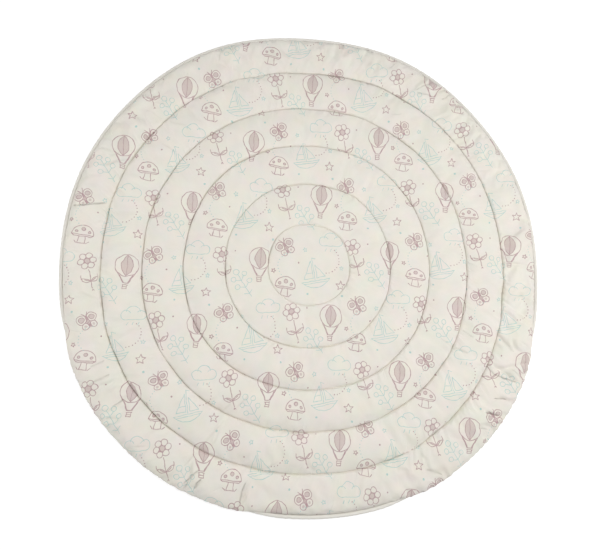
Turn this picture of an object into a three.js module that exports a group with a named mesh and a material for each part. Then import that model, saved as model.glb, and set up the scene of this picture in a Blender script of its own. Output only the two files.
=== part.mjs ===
// Round quilted play mat, lying flat: a filled pad sewn through in rings, with corded piping around its edge.
// Millimetres, +Z up. The origin is on the floor under the middle of the mat.

import * as THREE from "three";

// Overall sizes
const matDiameter = 1000;
const pipingDiameter = 9;
const clearance = 0.3;

// Heights above the floor
const crownHeight = 25;
const seamHeight = 8;
const pipingHeight = 6;
const underSeamHeight = 2;
const foldFreeHeight = 9;

// Form of a sewn channel
const puffRoundness = 2.5;
const halfChannelWidth = 41;
const underSeamHalfWidth = 9;

// Rings of stitching, from the middle outwards, and how many steps go around the mat inside each
const stitchedRings = [
  { radius: 85, steps: 36 },
  { radius: 171, steps: 36 },
  { radius: 255, steps: 72 },
  { radius: 337, steps: 72 },
  { radius: 418, steps: 72 },
];
const edgeSteps = 144;

// Where the top cloth is sampled, from a seam (0) to the crown of its channel (1)
const acrossPuff = [0.08, 0.25, 0.6, 1];

// How far the hand-cut outline and rings stray from a circle. Each wave grows towards the edge.
const outlineWaves = [
  { lobes: 4, size: 4.4, bearing: 43, growth: 1 },
  { lobes: 3, size: 2.0, bearing: 85, growth: 1.2 },
  { lobes: 2, size: 3.1, bearing: 108, growth: 5 },
  { lobes: 8, size: 1.2, bearing: 21, growth: 3 },
  { lobes: 7, size: 1.1, bearing: 14, growth: 5 },
];

// Uneven filling: how far the crowns rise and fall around the mat
const fillWaves = [
  { lobes: 5, size: 0.8, bearing: 20, twist: 3 },
  { lobes: 3, size: 0.7, bearing: 70, twist: -5 },
  { lobes: 9, size: 0.5, bearing: 8, twist: 7 },
];
const evenMiddleRadius = 150;

// Section of the edge from the crown outwards, as distance inside the outline and height.
// The open edge shows its piping from above, and the tucked edge bulges over it.
const openEdge = [
  { inset: 27, height: 23.6 },
  { inset: 18, height: 20.6 },
  { inset: 12.6, height: 16 },
  { inset: 10, height: 12.2 },
  { inset: 9.5, height: 9.6 },
  { inset: 9.3, height: 7.4 },
  { inset: 9.3, height: 4.6 },
  { inset: 12, height: 2 },
  { inset: 20, height: 0 },
];
const tuckedEdge = [
  { inset: 22, height: 23.4 },
  { inset: 9, height: 20.4 },
  { inset: 2.2, height: 15.6 },
  { inset: 4.6, height: 11.2 },
  { inset: 12.2, height: 9.9 },
  { inset: 15.3, height: 7.8 },
  { inset: 15.3, height: 3.8 },
  { inset: 18, height: 1.6 },
  { inset: 26, height: 0 },
];
const tuckedCordShift = { inwards: 6, down: 1.1 };

// Stretches of the edge where the cloth rolls over the piping, in degrees
const tuckedStretches = [
  { from: 203, to: 250 },
  { from: 300, to: 343 },
];
const tuckFade = 14;

// Main folds that cross the outermost channel: a soft trough at each place.
// turn is the angle between the fold and a line out from the middle.
const mainFolds = [
  { bearing: 345, radius: 470, length: 34, width: 9, depth: 5, turn: 12 },
  { bearing: 338, radius: 462, length: 34, width: 9, depth: 6, turn: 30 },
  { bearing: 332, radius: 466, length: 30, width: 8, depth: 6, turn: 38 },
  { bearing: 325, radius: 462, length: 34, width: 9, depth: 6, turn: 32 },
  { bearing: 318, radius: 458, length: 32, width: 9, depth: 5, turn: 16 },
  { bearing: 306, radius: 466, length: 26, width: 10, depth: 4, turn: -18 },
  { bearing: 252, radius: 474, length: 26, width: 8, depth: 5, turn: -20 },
  { bearing: 242, radius: 468, length: 30, width: 8, depth: 5, turn: -18 },
  { bearing: 236, radius: 470, length: 30, width: 8, depth: 5, turn: -14 },
  { bearing: 221, radius: 474, length: 24, width: 9, depth: 4, turn: 40 },
  { bearing: 208, radius: 462, length: 30, width: 8, depth: 4, turn: -10 },
  { bearing: 172, radius: 456, length: 34, width: 7, depth: 4, turn: -4 },
  { bearing: 63, radius: 466, length: 26, width: 9, depth: 4, turn: 24 },
  { bearing: 52, radius: 474, length: 24, width: 9, depth: 4, turn: 8 },
];

const toRadians = Math.PI / 180;
const matRadius = matDiameter / 2;

function smoothStep(from, to, value) {
  return THREE.MathUtils.smoothstep(value, from, to);
}

// Distance that a circle of this radius is pushed out at a bearing
function outlineOffset(radius, bearing) {
  let offset = 0;
  for (const wave of outlineWaves) {
    const fade = Math.pow(radius / matRadius, wave.growth);
    offset += wave.size * fade * Math.cos(wave.lobes * (bearing - wave.bearing * toRadians));
  }
  return offset;
}

// 0 where the piping shows from above, 1 where the cloth rolls over it
function tuckAt(bearing) {
  const degrees = bearing / toRadians;
  let tuck = 0;
  for (const stretch of tuckedStretches) {
    const rise = smoothStep(stretch.from - tuckFade, stretch.from, degrees);
    const fall = 1 - smoothStep(stretch.to, stretch.to + tuckFade, degrees);
    tuck = Math.max(tuck, rise * fall);
  }
  return tuck;
}

// Depth of the folds at a point of the top cloth
function foldDepth(radius, bearing) {
  const x = radius * Math.cos(bearing);
  const y = radius * Math.sin(bearing);
  let depth = 0;
  for (const fold of mainFolds) {
    const place = fold.bearing * toRadians;
    const heading = (fold.bearing + fold.turn) * toRadians;
    const dx = x - fold.radius * Math.cos(place);
    const dy = y - fold.radius * Math.sin(place);
    const along = (dx * Math.cos(heading) + dy * Math.sin(heading)) / fold.length;
    const across = (dy * Math.cos(heading) - dx * Math.sin(heading)) / fold.width;
    depth += fold.depth * Math.exp(-along * along - across * across);
  }
  return depth;
}

// Height of the top cloth between a seam (0) and the crown of its channel (1)
function topHeight(across, radius, bearing) {
  const puff = Math.pow(1 - Math.pow(1 - across, puffRoundness), 1 / puffRoundness);
  const unevenness = smoothStep(0, evenMiddleRadius, radius);
  let crown = crownHeight;
  for (const wave of fillWaves) {
    const turn = wave.lobes * wave.bearing * toRadians + (wave.twist * radius) / matRadius;
    crown += wave.size * unevenness * Math.cos(wave.lobes * bearing - turn);
  }
  return seamHeight + (crown - seamHeight) * puff - foldDepth(radius, bearing) * puff;
}

// One ring of points: place gives the radius and height at a bearing.
// strayRadius is where the stray of the outline is read, for rings that keep their distance to the edge.
function makeRing(steps, place, strayRadius = null) {
  const ring = [];
  for (let step = 0; step < steps; step += 1) {
    const bearing = (step / steps) * 2 * Math.PI;
    const { radius, height } = place(bearing);
    const reach = radius + outlineOffset(strayRadius ?? radius, bearing);
    ring.push(new THREE.Vector3(reach * Math.cos(bearing), reach * Math.sin(bearing), height));
  }
  return ring;
}

// Rings of the top cloth, from the crown of the middle disc to the crown of the outermost channel
function topRings() {
  const rings = [];
  const addRing = (steps, radius, across) => {
    rings.push(makeRing(steps, (bearing) => ({ radius, height: topHeight(across, radius, bearing) })));
  };
  stitchedRings.forEach((seam, index) => {
    const outerSteps = index + 1 < stitchedRings.length ? stitchedRings[index + 1].steps : edgeSteps;
    for (const across of [...acrossPuff].reverse()) {
      const isSharedCrown = across === 1 && index > 0;
      if (!isSharedCrown) {
        addRing(seam.steps, seam.radius - across * halfChannelWidth, across);
      }
    }
    addRing(seam.steps, seam.radius, 0);
    for (const across of acrossPuff) {
      addRing(outerSteps, seam.radius + across * halfChannelWidth, across);
    }
  });
  return rings;
}

// Rings around the edge, blended between the open and the tucked section
function edgeRings() {
  return openEdge.map((open, index) => {
    const tucked = tuckedEdge[index];
    const place = (bearing) => {
      const tuck = tuckAt(bearing);
      const inset = THREE.MathUtils.lerp(open.inset, tucked.inset, tuck);
      const plainHeight = THREE.MathUtils.lerp(open.height, tucked.height, tuck);
      const radius = matRadius - inset;
      const foldShare = smoothStep(foldFreeHeight, crownHeight, plainHeight);
      return { radius, height: plainHeight - foldDepth(radius, bearing) * foldShare };
    };
    return makeRing(edgeSteps, place, matRadius);
  });
}

// Rings of the underside, from the outermost seam to the middle: flat, with a shallow groove at each seam
function underRings() {
  const rings = [];
  for (const seam of [...stitchedRings].reverse()) {
    for (const side of [1, 0, -1]) {
      const radius = seam.radius + side * underSeamHalfWidth;
      const height = side === 0 ? underSeamHeight : 0;
      rings.push(makeRing(seam.steps, () => ({ radius, height })));
    }
  }
  return rings;
}

// Triangles between two rings whose step counts are equal, or one twice the other
function bridgeRings(first, second, addTriangle) {
  const steps = Math.min(first.length, second.length);
  const firstStride = first.length / steps;
  const secondStride = second.length / steps;
  for (let step = 0; step < steps; step += 1) {
    const a0 = first[step * firstStride];
    const a1 = first[((step + 1) * firstStride) % first.length];
    const b0 = second[step * secondStride];
    const b1 = second[((step + 1) * secondStride) % second.length];
    if (firstStride === 2) {
      const middle = first[step * 2 + 1];
      addTriangle(a0, b0, middle);
      addTriangle(middle, b0, b1);
      addTriangle(middle, b1, a1);
    } else if (secondStride === 2) {
      const middle = second[step * 2 + 1];
      addTriangle(a0, b0, middle);
      addTriangle(a0, middle, a1);
      addTriangle(a1, middle, b1);
    } else {
      addTriangle(a0, b0, b1);
      addTriangle(a0, b1, a1);
    }
  }
}

// Closed surface through rings that run from one middle point out and back to another
function closedSkin(startPoint, rings, endPoint) {
  const positions = [];
  const addTriangle = (a, b, c) => {
    positions.push(a.x, a.y, a.z, b.x, b.y, b.z, c.x, c.y, c.z);
  };
  const firstRing = rings[0];
  const lastRing = rings[rings.length - 1];
  firstRing.forEach((point, step) => {
    addTriangle(startPoint, point, firstRing[(step + 1) % firstRing.length]);
  });
  for (let index = 0; index + 1 < rings.length; index += 1) {
    bridgeRings(rings[index], rings[index + 1], addTriangle);
  }
  lastRing.forEach((point, step) => {
    addTriangle(point, endPoint, lastRing[(step + 1) % lastRing.length]);
  });
  const geometry = new THREE.BufferGeometry();
  geometry.setAttribute("position", new THREE.Float32BufferAttribute(positions, 3));
  geometry.computeVertexNormals();
  return geometry;
}

function makePadGeometry() {
  const rings = [...topRings(), ...edgeRings(), ...underRings()];
  const top = new THREE.Vector3(0, 0, topHeight(1, 0, 0));
  const bottom = new THREE.Vector3(0, 0, 0);
  return closedSkin(top, rings, bottom);
}

// A round cord bent around the edge of the pad
function makePipingGeometry() {
  const cordRadius = pipingDiameter / 2;
  const cordSides = 8;
  const cordLineRadius = matRadius - cordRadius;
  const geometry = new THREE.TorusGeometry(cordLineRadius, cordRadius, cordSides, edgeSteps);
  const position = geometry.getAttribute("position");
  for (let index = 0; index < position.count; index += 1) {
    const x = position.getX(index);
    const y = position.getY(index);
    const fullTurn = 2 * Math.PI;
    const bearing = (Math.atan2(y, x) + fullTurn) % fullTurn;
    const tuck = tuckAt(bearing);
    const shift = outlineOffset(matRadius, bearing) - tuck * tuckedCordShift.inwards;
    const lift = pipingHeight - tuck * tuckedCordShift.down;
    position.setXYZ(
      index,
      x + shift * Math.cos(bearing),
      y + shift * Math.sin(bearing),
      position.getZ(index) + lift,
    );
  }
  geometry.computeVertexNormals();
  return geometry;
}

function makePiece(name, geometry, material) {
  const mesh = new THREE.Mesh(geometry, material);
  mesh.name = name;
  return mesh;
}

const printedCotton = new THREE.MeshStandardMaterial({ color: 0xe6e1d6, roughness: 0.92, metalness: 0 });
const pipingCotton = new THREE.MeshStandardMaterial({ color: 0xece8de, roughness: 0.9, metalness: 0 });

const group = new THREE.Group();
group.add(makePiece("quilted_pad", makePadGeometry(), printedCotton));
group.add(makePiece("edge_piping", makePipingGeometry(), pipingCotton));

// The middle of the outline's box goes over the origin
const outlineBox = new THREE.Box3().setFromObject(group);
const outlineMiddle = outlineBox.getCenter(new THREE.Vector3());
group.position.set(-outlineMiddle.x, -outlineMiddle.y, 0);

export default group;
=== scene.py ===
import math

import bpy
import numpy as np
from mathutils import Euler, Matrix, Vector


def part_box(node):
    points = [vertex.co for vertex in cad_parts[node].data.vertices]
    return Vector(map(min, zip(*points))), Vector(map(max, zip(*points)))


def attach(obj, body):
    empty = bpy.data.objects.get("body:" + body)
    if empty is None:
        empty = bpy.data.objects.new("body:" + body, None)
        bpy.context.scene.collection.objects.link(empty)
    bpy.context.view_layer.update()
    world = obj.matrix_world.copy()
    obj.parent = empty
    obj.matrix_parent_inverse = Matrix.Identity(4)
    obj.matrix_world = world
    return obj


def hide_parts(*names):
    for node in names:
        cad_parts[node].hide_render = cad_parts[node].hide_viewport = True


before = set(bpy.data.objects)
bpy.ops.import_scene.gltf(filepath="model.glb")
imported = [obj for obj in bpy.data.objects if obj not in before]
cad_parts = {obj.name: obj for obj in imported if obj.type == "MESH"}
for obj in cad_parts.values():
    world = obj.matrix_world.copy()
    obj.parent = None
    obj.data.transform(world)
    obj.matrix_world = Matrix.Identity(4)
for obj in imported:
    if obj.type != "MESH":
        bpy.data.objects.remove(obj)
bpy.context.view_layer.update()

# A round baby play mat, quilted in rings, lying face up on a pale floor. Metres, +Z up.


# Form of the mat, shared by all its pieces

matForm = {
    "radius": 0.5,
    "crownHeight": 0.0246,
    "seamHeight": 0.0104,
    "notchShare": 0.60,        # share of the rise that lies in the narrow notch along a seam
    "notchWidth": 0.0007,
    "seamRise": (0.0066, 0.0036, 0.0016, 0.0003, -0.0004),  # the inner stitch lines lie less deep
    "puffRoundness": 2.3,
    "ringRadii": (0.0840, 0.1698, 0.2533, 0.3350, 0.4154),
    "ringShift": -0.0009,      # the rings lie a little nearer the lower edge
    "halfChannel": 0.041,
    "lastCrownRadius": 0.459,
    "pipingHeight": 0.006,
    "pipingRadius": 0.0045,
}

# How far the hand-cut outline and rings stray from a circle; each wave grows towards the edge
outlineWaves = (
    {"lobes": 4, "size": 0.0044, "bearing": 43, "growth": 1},
    {"lobes": 3, "size": 0.0020, "bearing": 85, "growth": 1.2},
    {"lobes": 2, "size": 0.0031, "bearing": 108, "growth": 5},
    {"lobes": 8, "size": 0.0012, "bearing": 21, "growth": 3},
    {"lobes": 7, "size": 0.0011, "bearing": 14, "growth": 5},
)

# Stretches of the edge where the cloth rolls over the piping, in degrees
tuckedEdge = {
    "stretches": ((203, 250), (300, 335)),
    "fade": 14,
    "cordInwards": 0.006,
    "cordDown": 0.0011,
}


def smoothRise(low, high, value):
    share = np.clip((value - low) / (high - low), 0, 1)
    return share * share * (3 - 2 * share)


def strayFromCircle(radius, bearing):
    stray = 0 * bearing
    for wave in outlineWaves:
        fade = (radius / matForm["radius"]) ** wave["growth"]
        turned = bearing - math.radians(wave["bearing"])
        stray = stray + wave["size"] * fade * np.cos(wave["lobes"] * turned)
    return stray


def tuckAt(bearing):
    # 0 where the piping shows from above, 1 where the cloth rolls over it
    degrees = np.degrees(bearing) % 360
    tuck = 0 * bearing
    for start, end in tuckedEdge["stretches"]:
        rise = smoothRise(start - tuckedEdge["fade"], start, degrees)
        fall = 1 - smoothRise(end, end + tuckedEdge["fade"], degrees)
        tuck = np.maximum(tuck, rise * fall)
    return tuck


def bearingsOf(steps):
    return np.arange(steps) * (2 * math.pi / steps)


def outlineMiddle():
    # Middle of the outline's box, which the frame puts over the origin
    bearing = bearingsOf(144)
    reach = matForm["radius"] + strayFromCircle(matForm["radius"], bearing)
    reach = reach - tuckAt(bearing) * tuckedEdge["cordInwards"]
    x, y = reach * np.cos(bearing), reach * np.sin(bearing)
    return (x.min() + x.max()) / 2, (y.min() + y.max()) / 2


cordLow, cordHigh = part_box("edge_piping")
ownMiddle = outlineMiddle()
matShift = [(cordLow[axis] + cordHigh[axis]) / 2 - ownMiddle[axis] for axis in (0, 1)]
print("mat shift", matShift)


# Camera, first, at the photograph's angle

cameraView = {
    "lens": 34.2,
    "sensor": 36.0,
    "place": (-0.1320, -0.1832, 1.154),
    "turn": (8.01, -5.74),  # degrees about X, then about Y
}


def addCamera():
    lensData = bpy.data.cameras.new("matCamera")
    lensData.lens = cameraView["lens"]
    lensData.sensor_width = cameraView["sensor"]
    camera = bpy.data.objects.new("matCamera", lensData)
    camera.location = cameraView["place"]
    aboutX, aboutY = (math.radians(angle) for angle in cameraView["turn"])
    camera.rotation_euler = Euler((aboutX, aboutY, 0), "XYZ")
    bpy.context.scene.collection.objects.link(camera)
    bpy.context.scene.camera = camera


addCamera()


# Uneven cloth: smooth random relief from sums of plane waves, the same on each run

noiseSeeds = {
    "crown": 5,
    "lumps": 11,
    "dents": 12,
    "seamWander": 40,          # one more for each ring
    "seamHeight": 60,
    "wrinklePatches": 71,
    "pucker": 100,             # ten more for each ring, and five more for its patches
    "rimGather": 301,
    "pipingLift": 401,
    "pipingWrinkle": 402,
    "stitches": 7,
}


def softNoise(x, y, wavelength, seed, waves=28):
    draw = np.random.default_rng(seed)
    total = 0 * x
    for _ in range(waves):
        heading = draw.uniform(0, math.pi)
        pitch = wavelength * draw.uniform(0.65, 1.6)
        phase = draw.uniform(0, 2 * math.pi)
        along = x * math.cos(heading) + y * math.sin(heading)
        total = total + np.cos(along * 2 * math.pi / pitch + phase)
    return total / math.sqrt(waves / 2)


def roundNoise(bearing, length, wavelength, seed, waves=18):
    # Noise along a closed ring of this length
    draw = np.random.default_rng(seed)
    total = 0 * bearing
    for _ in range(waves):
        lobes = max(1, round(length / (wavelength * draw.uniform(0.6, 1.8))))
        total = total + np.cos(lobes * bearing + draw.uniform(0, 2 * math.pi))
    return total / math.sqrt(waves / 2)


coverRelief = {
    "lumps": 0.00055,          # soft lumps of filling
    "lumpSize": 0.075,
    "dents": 0.00022,
    "dentSize": 0.028,
    "crownStray": 0.0009,      # crowns rise and fall along a channel
    "crownStraySize": 0.24,
    "crownDrop": 0.0012,       # room that the strays need below the crown's height
    "seamWander": 0.0004,      # a hand-guided stitch line strays
    "seamWanderSize": 0.11,
    "seamHeightStray": 0.0004,
    "seamHeightStraySize": 0.05,
    "pucker": 0.00060,         # small gathers along each seam
    "puckerPitch": 0.014,
    "puckerReach": 0.012,
    "puckerStart": 0.0012,
    "puckerSlant": 0.5,
    "puckerPatchSize": 0.11,
    "puckerPatchRange": (-0.6, 1.2),
    "puckerShares": (0.45, 0.55),  # at least, and this much more in a patch
    "nearSag": 0.0030,         # the cloth sinks more beside the seams nearest the lower edge
    "nearSagReach": 0.009,
    "nearSagSides": (0.25, 0.95),
    "rimGather": 0.0006,       # gathers where the cloth meets the piping
    "rimGatherPitch": 0.02,
    "rimGatherReach": 0.02,
    "rimGatherHeights": (0.0085, 0.013),
    "rimGatherShares": (0.4, 0.6),  # at least, and this much more where the cloth rolls over
    "rimReliefHeights": (0.0095, 0.023),
}

# Creases of the top cloth: place, half length, half width and depth in metres, and the angle in
# degrees between the crease and a line out from the middle
creaseColumns = ("bearing", "radius", "length", "width", "depth", "turn")
coverCreases = [dict(zip(creaseColumns, row)) for row in (
    (334, 0.465, 0.038, 0.008, 0.0041, 29),
    (331, 0.463, 0.027, 0.007, 0.0050, 0),
    (326, 0.484, 0.017, 0.007, 0.0050, 30),
    (321, 0.476, 0.017, 0.007, 0.0050, 9),
    (317, 0.481, 0.015, 0.008, 0.0047, 35),
    (304, 0.426, 0.019, 0.006, 0.0030, 89),
    (302, 0.481, 0.018, 0.007, 0.0027, 64),
    (331, 0.334, 0.009, 0.006, 0.0024, 3),
    (330, 0.360, 0.013, 0.006, 0.0024, -9),
    (329, 0.402, 0.018, 0.007, 0.0024, 21),
    (339, 0.456, 0.016, 0.007, 0.0034, -40),
    (217, 0.462, 0.015, 0.005, 0.0034, 1),
    (219, 0.483, 0.014, 0.006, 0.0034, -28),
    (227, 0.485, 0.016, 0.004, 0.0034, -41),
    (211, 0.455, 0.016, 0.007, 0.0027, -10),
    (241, 0.486, 0.010, 0.004, 0.0047, -11),
    (243, 0.477, 0.015, 0.005, 0.0047, -24),
    (240, 0.453, 0.018, 0.007, 0.0027, 4),
    (254, 0.463, 0.025, 0.005, 0.0024, -6),
    (239, 0.327, 0.017, 0.006, 0.0030, -12),
    (245, 0.302, 0.015, 0.006, 0.0024, -15),
    (241, 0.384, 0.028, 0.006, 0.0030, -2),
    (57, 0.477, 0.013, 0.006, 0.0041, -14),
    (53, 0.474, 0.013, 0.006, 0.0041, -29),
    (49, 0.479, 0.011, 0.005, 0.0041, -85),
    (47, 0.475, 0.007, 0.005, 0.0041, 50),
    (133, 0.471, 0.022, 0.006, 0.0027, 26),
    (153, 0.449, 0.015, 0.006, 0.0034, 41),
    (151, 0.469, 0.016, 0.006, 0.0027, 12),
    (166, 0.467, 0.025, 0.003, 0.0041, 25),
    (169, 0.423, 0.009, 0.006, 0.0018, 32),
    (161, 0.295, 0.014, 0.007, 0.0018, 16),
    (133, 0.396, 0.009, 0.007, 0.0018, 21),
    (254, 0.379, 0.013, 0.007, 0.0018, -45),
    (270, 0.393, 0.018, 0.008, 0.0018, 45),
    (283, 0.442, 0.016, 0.007, 0.0020, -40),
    (300, 0.464, 0.023, 0.008, 0.0020, 1),
    (347, 0.420, 0.019, 0.009, 0.0018, -60),
    (1, 0.436, 0.018, 0.006, 0.0020, -28),
    (340, 0.367, 0.015, 0.008, 0.0018, 73),
)]

creaseForm = {
    "bend": 0.6,               # share of its width that a crease bends sideways
    "bendRate": 1.7,
    "steepSide": 2.1,          # one side of the trough is this much steeper
    "troughPower": 1.5,
    "narrowness": 2.2,
    "lipShare": 0.45,
    "lipPlace": 1.25,
}


def creaseRelief(x, y):
    # Each crease is a soft trough with a raised lip on either side
    relief = 0 * x
    for crease in coverCreases:
        place = math.radians(crease["bearing"])
        heading = math.radians(crease["bearing"] + crease["turn"])
        dx = x - crease["radius"] * math.cos(place)
        dy = y - crease["radius"] * math.sin(place)
        along = (dx * math.cos(heading) + dy * math.sin(heading)) / crease["length"]
        bend = np.cos(along * creaseForm["bendRate"] + crease["bearing"])
        bend = creaseForm["bend"] * crease["width"] * bend
        across = (dy * math.cos(heading) - dx * math.sin(heading) + bend) / crease["width"]
        across = across * np.where(across > 0, 1.0, creaseForm["steepSide"])
        trough = np.exp(-np.abs(across) ** creaseForm["troughPower"] * creaseForm["narrowness"])
        lips = np.exp(-((across - creaseForm["lipPlace"]) ** 2) * creaseForm["narrowness"])
        lips = creaseForm["lipShare"] * lips
        relief = relief + crease["depth"] * (lips - trough) * np.exp(-(along ** 4))
    return relief


# Quilted cover: one closed skin, printed on top and plain below

coverMesh = {
    "fromSeam": (0.0006, 0.0014, 0.0028, 0.005, 0.0074, 0.0105, 0.0145, 0.0195, 0.026, 0.0335),
    "middleRings": (0.009, 0.018, 0.028, 0.036),
    "middleSteps": 90,
    "channelSteps": (180, 300, 420, 540, 720, 960),
    "lastFromSeam": (0.0006, 0.0014, 0.0028, 0.005, 0.0074, 0.0102, 0.013, 0.016, 0.019, 0.022, 0.025,
                     0.028, 0.031, 0.034, 0.037, 0.0395),
    "edgeSplits": 3,
    "underSteps": (180, 240, 300, 360, 360),
    "underFromSeam": (0.009, 0.0045, 0, -0.0045, -0.009),
    "underSeamHeight": 0.002,
    "printedSections": 6,      # the print ends at this point of the edge's section
    "guideStep": 0.010,
    "rimLean": 0.0011,         # the bulge leans over the piping, most at this bearing
    "rimLeanBearing": 140,
    "rimLeanSides": (-0.1, 0.9),
    "rimLeanHeights": (0.0085, 0.0125),
    "rimLeanReach": 0.012,
    "turnUnderHeight": 0.0124,
    "turnUnderSteep": 0.5,
    "turnUnderHidden": 0.01,
    "mapLadder": 4001,
    "mapSteepest": 2.5,
    "mapMargin": 1.02,
    "topShareOfMap": 0.90,
    "topMiddleInMap": 0.455,
    "backShareOfMap": 0.24,
    "backMiddleInMap": 0.875,
}

# Section of the edge from the crown outwards, as distance inside the outline and height
openEdgeSection = (
    (0.027, 0.0236), (0.018, 0.0206), (0.0126, 0.0160), (0.0100, 0.0122), (0.0095, 0.0096),
    (0.0093, 0.0074), (0.0093, 0.0046), (0.012, 0.0020), (0.020, 0.0),
)
tuckedEdgeSection = (
    (0.022, 0.0234), (0.009, 0.0204), (0.0022, 0.0156), (0.0046, 0.0112), (0.0122, 0.0099),
    (0.0153, 0.0078), (0.0153, 0.0038), (0.018, 0.0016), (0.026, 0.0),
)


def seamStray(ringIndex, bearing):
    # Sideways stray of one stitch line, on top of the outline's
    radius = matForm["ringRadii"][ringIndex]
    length = 2 * math.pi * radius
    seed = noiseSeeds["seamWander"] + ringIndex
    stray = roundNoise(bearing, length, coverRelief["seamWanderSize"], seed)
    shift = matForm["ringShift"] * np.sin(bearing)
    return strayFromCircle(radius, bearing) + coverRelief["seamWander"] * stray + shift


def seamHeightAt(ringIndex, bearing):
    length = 2 * math.pi * matForm["ringRadii"][ringIndex]
    height = matForm["seamHeight"] + matForm["seamRise"][ringIndex]
    seed = noiseSeeds["seamHeight"] + ringIndex
    stray = roundNoise(bearing, length, coverRelief["seamHeightStraySize"], seed)
    return height + coverRelief["seamHeightStray"] * stray


def crownHeightAt(x, y):
    stray = softNoise(x, y, coverRelief["crownStraySize"], noiseSeeds["crown"])
    return matForm["crownHeight"] - coverRelief["crownDrop"] + coverRelief["crownStray"] * stray


def puckerRelief(ringIndex, side, bearing, fromSeam):
    # Small slanted gathers that start at a seam and fade into the channel
    radius = matForm["ringRadii"][ringIndex]
    length = 2 * math.pi * radius
    seed = noiseSeeds["pucker"] + 10 * ringIndex + side
    slide = coverRelief["puckerSlant"] * fromSeam / radius
    gather = roundNoise(bearing + side * slide, length, coverRelief["puckerPitch"], seed)
    patches = roundNoise(bearing, length, coverRelief["puckerPatchSize"], seed + 5)
    least, more = coverRelief["puckerShares"]
    patches = least + more * smoothRise(*coverRelief["puckerPatchRange"], patches)
    rise = 1 - math.exp(-fromSeam / coverRelief["puckerStart"])
    fade = rise * math.exp(-fromSeam / coverRelief["puckerReach"])
    return coverRelief["pucker"] * gather * patches * fade


def placeRing(radius, bearing, height):
    return np.stack([radius * np.cos(bearing), radius * np.sin(bearing), height], axis=1)


def nearestSeam(points):
    # Distance of each point from the nearest stitch line or the outline, seen from above
    bearing = np.arctan2(points[:, 1], points[:, 0])
    reach = np.hypot(points[:, 0], points[:, 1])
    lines = [radius + seamStray(index, bearing) for index, radius in enumerate(matForm["ringRadii"])]
    lines.append(matForm["radius"] + strayFromCircle(matForm["radius"], bearing))
    return np.min([np.abs(reach - line) for line in lines], axis=0)


def puffAt(fromSeam, across):
    # 0 on a seam, 1 on the crown: a narrow notch first, then a long soft rise
    notch = 1 - np.exp(-fromSeam / matForm["notchWidth"])
    rise = 1 - (1 - across) ** matForm["puffRoundness"]
    return matForm["notchShare"] * notch + (1 - matForm["notchShare"]) * rise


def smallRelief(x, y):
    # Lumps of filling, dents and creases of the top cloth
    lumps = coverRelief["lumps"] * softNoise(x, y, coverRelief["lumpSize"], noiseSeeds["lumps"])
    dents = coverRelief["dents"] * softNoise(x, y, coverRelief["dentSize"], noiseSeeds["dents"])
    return lumps + dents + creaseRelief(x, y)


def topClothHeight(x, y, fromSeam, across, seamHeight):
    puff = puffAt(fromSeam, across)
    height = seamHeight + (crownHeightAt(x, y) - seamHeight) * puff
    return height + smallRelief(x, y) * puff


def channelRing(steps, ringIndex, side, fromSeam):
    # A ring of points at a distance from a seam: side 1 is outside it, -1 inside
    radii = matForm["ringRadii"] + (2 * matForm["lastCrownRadius"] - matForm["ringRadii"][-1],)
    bearing = bearingsOf(steps)
    radius = radii[ringIndex]
    neighbour = ringIndex + side
    isMiddle = neighbour < 0
    width = 2 * matForm["halfChannel"] if isMiddle else abs(radii[neighbour] - radius)
    across = min(1.0, fromSeam / (width / 2))
    ownStray = seamStray(ringIndex, bearing)
    if isMiddle:
        stray = ownStray * max(0, 1 - fromSeam / radius)
    elif neighbour == len(matForm["ringRadii"]):
        stray = ownStray + (strayFromCircle(matForm["lastCrownRadius"], bearing) - ownStray) * across
    else:
        stray = ownStray + (seamStray(neighbour, bearing) - ownStray) * across / 2
    reach = radius + side * fromSeam + stray
    x, y = reach * np.cos(bearing), reach * np.sin(bearing)
    height = topClothHeight(x, y, fromSeam, across, seamHeightAt(ringIndex, bearing))
    height = height + puckerRelief(ringIndex, side, bearing, fromSeam)
    if side < 0 and fromSeam > 0:
        near = smoothRise(*coverRelief["nearSagSides"], -np.sin(bearing))
        fade = math.exp(-fromSeam / coverRelief["nearSagReach"])
        height = height - coverRelief["nearSag"] * near * fade
    return placeRing(reach, bearing, height)


def clothReach(radius):
    # Length of cloth from the middle out to a radius, over the puffed channels, at the print's scale
    ladder = np.linspace(0, matForm["radius"], coverMesh["mapLadder"])
    lines = matForm["ringRadii"] + (matForm["radius"],)
    nearest = np.min([np.abs(ladder - line) for line in lines], axis=0)
    across = np.clip(nearest / matForm["halfChannel"], 0, 1)
    height = (matForm["crownHeight"] - matForm["seamHeight"]) * puffAt(nearest, across)
    rise = np.minimum(np.abs(np.gradient(height, ladder)[1:]), coverMesh["mapSteepest"])
    length = np.concatenate([[0], np.cumsum(np.sqrt(1 + rise ** 2))])
    length = length * (matForm["radius"] / length[-1])
    return np.interp(radius, ladder, length)


def topRings():
    rings = []
    for radius in coverMesh["middleRings"]:
        bearing = bearingsOf(coverMesh["middleSteps"])
        x, y = radius * np.cos(bearing), radius * np.sin(bearing)
        height = topClothHeight(x, y, matForm["halfChannel"], 1.0, matForm["seamHeight"])
        rings.append(placeRing(radius + 0 * bearing, bearing, height))
    lastRing = len(matForm["ringRadii"]) - 1
    for ringIndex, radius in enumerate(matForm["ringRadii"]):
        innerSteps, outerSteps = coverMesh["channelSteps"][ringIndex:ringIndex + 2]
        if ringIndex < lastRing:
            outwards = coverMesh["fromSeam"]
            halfWidth = (matForm["ringRadii"][ringIndex + 1] - radius) / 2
        else:
            outwards = coverMesh["lastFromSeam"]
            halfWidth = matForm["lastCrownRadius"] - radius
        for fromSeam in reversed(coverMesh["fromSeam"]):
            rings.append(channelRing(innerSteps, ringIndex, -1, fromSeam))
        rings.append(channelRing(innerSteps, ringIndex, 1, 0))
        for fromSeam in (*outwards, halfWidth):
            rings.append(channelRing(outerSteps, ringIndex, 1, fromSeam))
    return rings


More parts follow.
